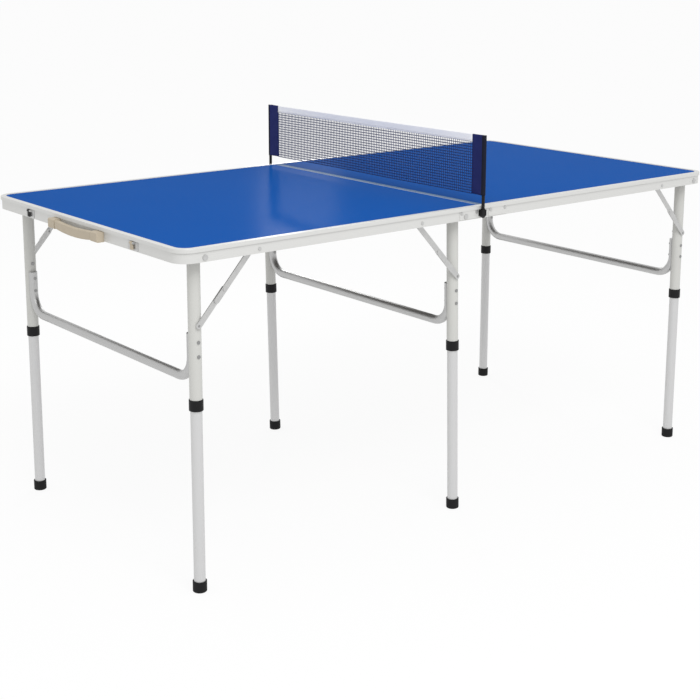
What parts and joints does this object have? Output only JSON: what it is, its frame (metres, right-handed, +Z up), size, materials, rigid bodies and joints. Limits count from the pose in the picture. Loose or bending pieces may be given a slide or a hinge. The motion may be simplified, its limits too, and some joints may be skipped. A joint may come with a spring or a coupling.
{
  "type": "ping pong table",
  "caption": "Folding compact ping pong table with a blue top, pale metal edge, plug-in legs, carrying handle and lift-off net.",
  "frame": {"origin": "on the floor, under the middle of the line where the two halves meet", "axes": "+Z up, X along the table's length with the carrying handle at -X, Y across it"},
  "size_m": [1.5385, 0.781, 0.84],
  "materials": {
    "blue_top": "satin blue paint on board",
    "white_rail": "satin off-white lacquer",
    "leg_white": "satin warm white",
    "leg_grey": "satin pale grey",
    "bar_steel": "polished satin",
    "plate_steel": "zinc plated",
    "black_plastic": "matte black",
    "black_metal": "satin black",
    "black_rubber": "matte black",
    "handle_beige": "matte beige",
    "net_navy": "woven navy",
    "net_white": "woven white",
    "net_grey": "open grey mesh"
  },
  "bodies": {
    "left_half": {"left_panel": "blue_top", "left_edge_rail": "white_rail", "left_joint_rail": "white_rail", "left_leg_brackets": "plate_steel", "left_leg_bolts": "plate_steel", "left_brace_studs": "plate_steel", "left_hinge_leaves": "white_rail", "left_hinge_pins": "plate_steel", "latch_plates": "plate_steel", "handle_brackets": "handle_beige", "net_sockets": "black_plastic"},
    "hinge_link_pair": {"hinge_links": "plate_steel"},
    "right_half": {"right_panel": "blue_top", "right_edge_rail": "white_rail", "right_joint_rail": "white_rail", "right_leg_brackets": "plate_steel", "right_leg_bolts": "plate_steel", "right_brace_studs": "plate_steel", "right_hinge_leaves": "white_rail", "right_hinge_pins": "plate_steel", "latch_tongues": "plate_steel"},
    "frame_left": {"upper_leg_left_near": "leg_white", "upper_leg_left_far": "leg_white", "crossbar_left": "bar_steel", "frame_rivets_left": "plate_steel"},
    "upper_brace_left": {"upper_links_left": "plate_steel"},
    "lower_brace_left": {"lower_links_left": "plate_steel"},
    "lower_legs_left": {"lower_leg_left_near": "leg_grey", "lower_leg_left_far": "leg_grey", "collars_left": "black_plastic", "feet_left": "black_rubber"},
    "frame_mid": {"upper_leg_mid_near": "leg_white", "upper_leg_mid_far": "leg_white", "crossbar_mid": "bar_steel", "frame_rivets_mid": "plate_steel"},
    "upper_brace_mid": {"upper_links_mid": "plate_steel"},
    "lower_brace_mid": {"lower_links_mid": "plate_steel"},
    "lower_legs_mid": {"lower_leg_mid_near": "leg_grey", "lower_leg_mid_far": "leg_grey", "collars_mid": "black_plastic", "feet_mid": "black_rubber"},
    "frame_right": {"upper_leg_right_near": "leg_white", "upper_leg_right_far": "leg_white", "crossbar_right": "bar_steel", "frame_rivets_right": "plate_steel"},
    "upper_brace_right": {"upper_links_right": "plate_steel"},
    "lower_brace_right": {"lower_links_right": "plate_steel"},
    "lower_legs_right": {"lower_leg_right_near": "leg_grey", "lower_leg_right_far": "leg_grey", "collars_right": "black_plastic", "feet_right": "black_rubber"},
    "handle": {"handle_grip": "handle_beige"},
    "latch_near": {"latch_lever_near": "black_plastic"},
    "latch_far": {"latch_lever_far": "black_plastic"},
    "net_set": {"net_posts": "black_metal", "net_sleeves": "net_navy", "net_tape": "net_white", "net_mesh": "net_grey"}
  },
  "joints": [
    {"name": "fold_left_pin", "type": "hinge", "parent": "left_half", "child": "hinge_link_pair", "pos_m": [-0.021, 0, 0.678], "axis": [0, 1, 0], "range_deg": [0, 90]},
    {"name": "fold_right_pin", "type": "hinge", "parent": "hinge_link_pair", "child": "right_half", "pos_m": [0.021, 0, 0.678], "axis": [0, 1, 0], "range_deg": [0, 90]},
    {"name": "fold_legs_left", "type": "hinge", "parent": "left_half", "child": "frame_left", "pos_m": [-0.706, 0, 0.6705], "axis": [0, -1, 0], "range_deg": [0, 90]},
    {"name": "brace_top_left", "type": "hinge", "parent": "left_half", "child": "upper_brace_left", "pos_m": [-0.584, 0, 0.6705], "axis": [0, -1, 0], "range_deg": [0, 132.6]},
    {"name": "brace_low_left", "type": "hinge", "parent": "frame_left", "child": "lower_brace_left", "pos_m": [-0.706, 0, 0.5355], "axis": [0, -1, 0], "range_deg": [-138.4, 0]},
    {"name": "pull_lower_legs_left", "type": "slide", "parent": "left_half", "child": "lower_legs_left", "axis": [0, 0, -1], "range_m": [0, 0.452]},
    {"name": "fold_legs_mid", "type": "hinge", "parent": "left_half", "child": "frame_mid", "pos_m": [-0.052, 0, 0.6705], "axis": [0, 1, 0], "range_deg": [0, 91.4]},
    {"name": "brace_top_mid", "type": "hinge", "parent": "left_half", "child": "upper_brace_mid", "pos_m": [-0.174, 0, 0.6705], "axis": [0, 1, 0], "range_deg": [0, 133.37]},
    {"name": "brace_low_mid", "type": "hinge", "parent": "frame_mid", "child": "lower_brace_mid", "pos_m": [-0.0487, 0, 0.53554], "axis": [0, 1, 0], "range_deg": [-139.03, 0]},
    {"name": "pull_lower_legs_mid", "type": "slide", "parent": "left_half", "child": "lower_legs_mid", "axis": [0.0244, 0, -0.9997], "range_m": [0, 0.452]},
    {"name": "fold_legs_right", "type": "hinge", "parent": "right_half", "child": "frame_right", "pos_m": [0.72, 0, 0.6705], "axis": [0, 1, 0], "range_deg": [0, 90]},
    {"name": "brace_top_right", "type": "hinge", "parent": "right_half", "child": "upper_brace_right", "pos_m": [0.598, 0, 0.6705], "axis": [0, 1, 0], "range_deg": [0, 132.6]},
    {"name": "brace_low_right", "type": "hinge", "parent": "frame_right", "child": "lower_brace_right", "pos_m": [0.72, 0, 0.5355], "axis": [0, 1, 0], "range_deg": [-138.4, 0]},
    {"name": "pull_lower_legs_right", "type": "slide", "parent": "frame_right", "child": "lower_legs_right", "axis": [0, 0, -1], "range_m": [0, 0.032]},
    {"name": "handle_swing", "type": "hinge", "parent": "left_half", "child": "handle", "pos_m": [-0.7715, 0, 0.671], "axis": [0, 1, 0], "range_deg": [0, 90]},
    {"name": "latch_near_swing", "type": "hinge", "parent": "left_half", "child": "latch_near", "pos_m": [-0.7635, -0.214, 0.6785], "axis": [0, 1, 0], "range_deg": [0, 80]},
    {"name": "latch_far_swing", "type": "hinge", "parent": "left_half", "child": "latch_far", "pos_m": [-0.7635, 0.214, 0.6785], "axis": [0, 1, 0], "range_deg": [0, 80]},
    {"name": "net_lift", "type": "slide", "parent": "left_half", "child": "net_set", "axis": [0, 0, 1], "range_m": [0, 0.06]}
  ],
  "couplings": [
    {"joint": "brace_top_left", "follows": "fold_legs_left", "ratio": 1.4678},
    {"joint": "brace_low_left", "follows": "fold_legs_left", "ratio": -1.5322},
    {"joint": "pull_lower_legs_left", "follows": "fold_legs_left", "m_per_rad": 0.28648},
    {"joint": "brace_top_mid", "follows": "fold_legs_mid", "ratio": 1.4538},
    {"joint": "brace_low_mid", "follows": "fold_legs_mid", "ratio": -1.5156},
    {"joint": "pull_lower_legs_mid", "follows": "fold_legs_mid", "m_per_rad": 0.28209},
    {"joint": "brace_top_right", "follows": "fold_legs_right", "ratio": 1.4678},
    {"joint": "brace_low_right", "follows": "fold_legs_right", "ratio": -1.5322}
  ]
}
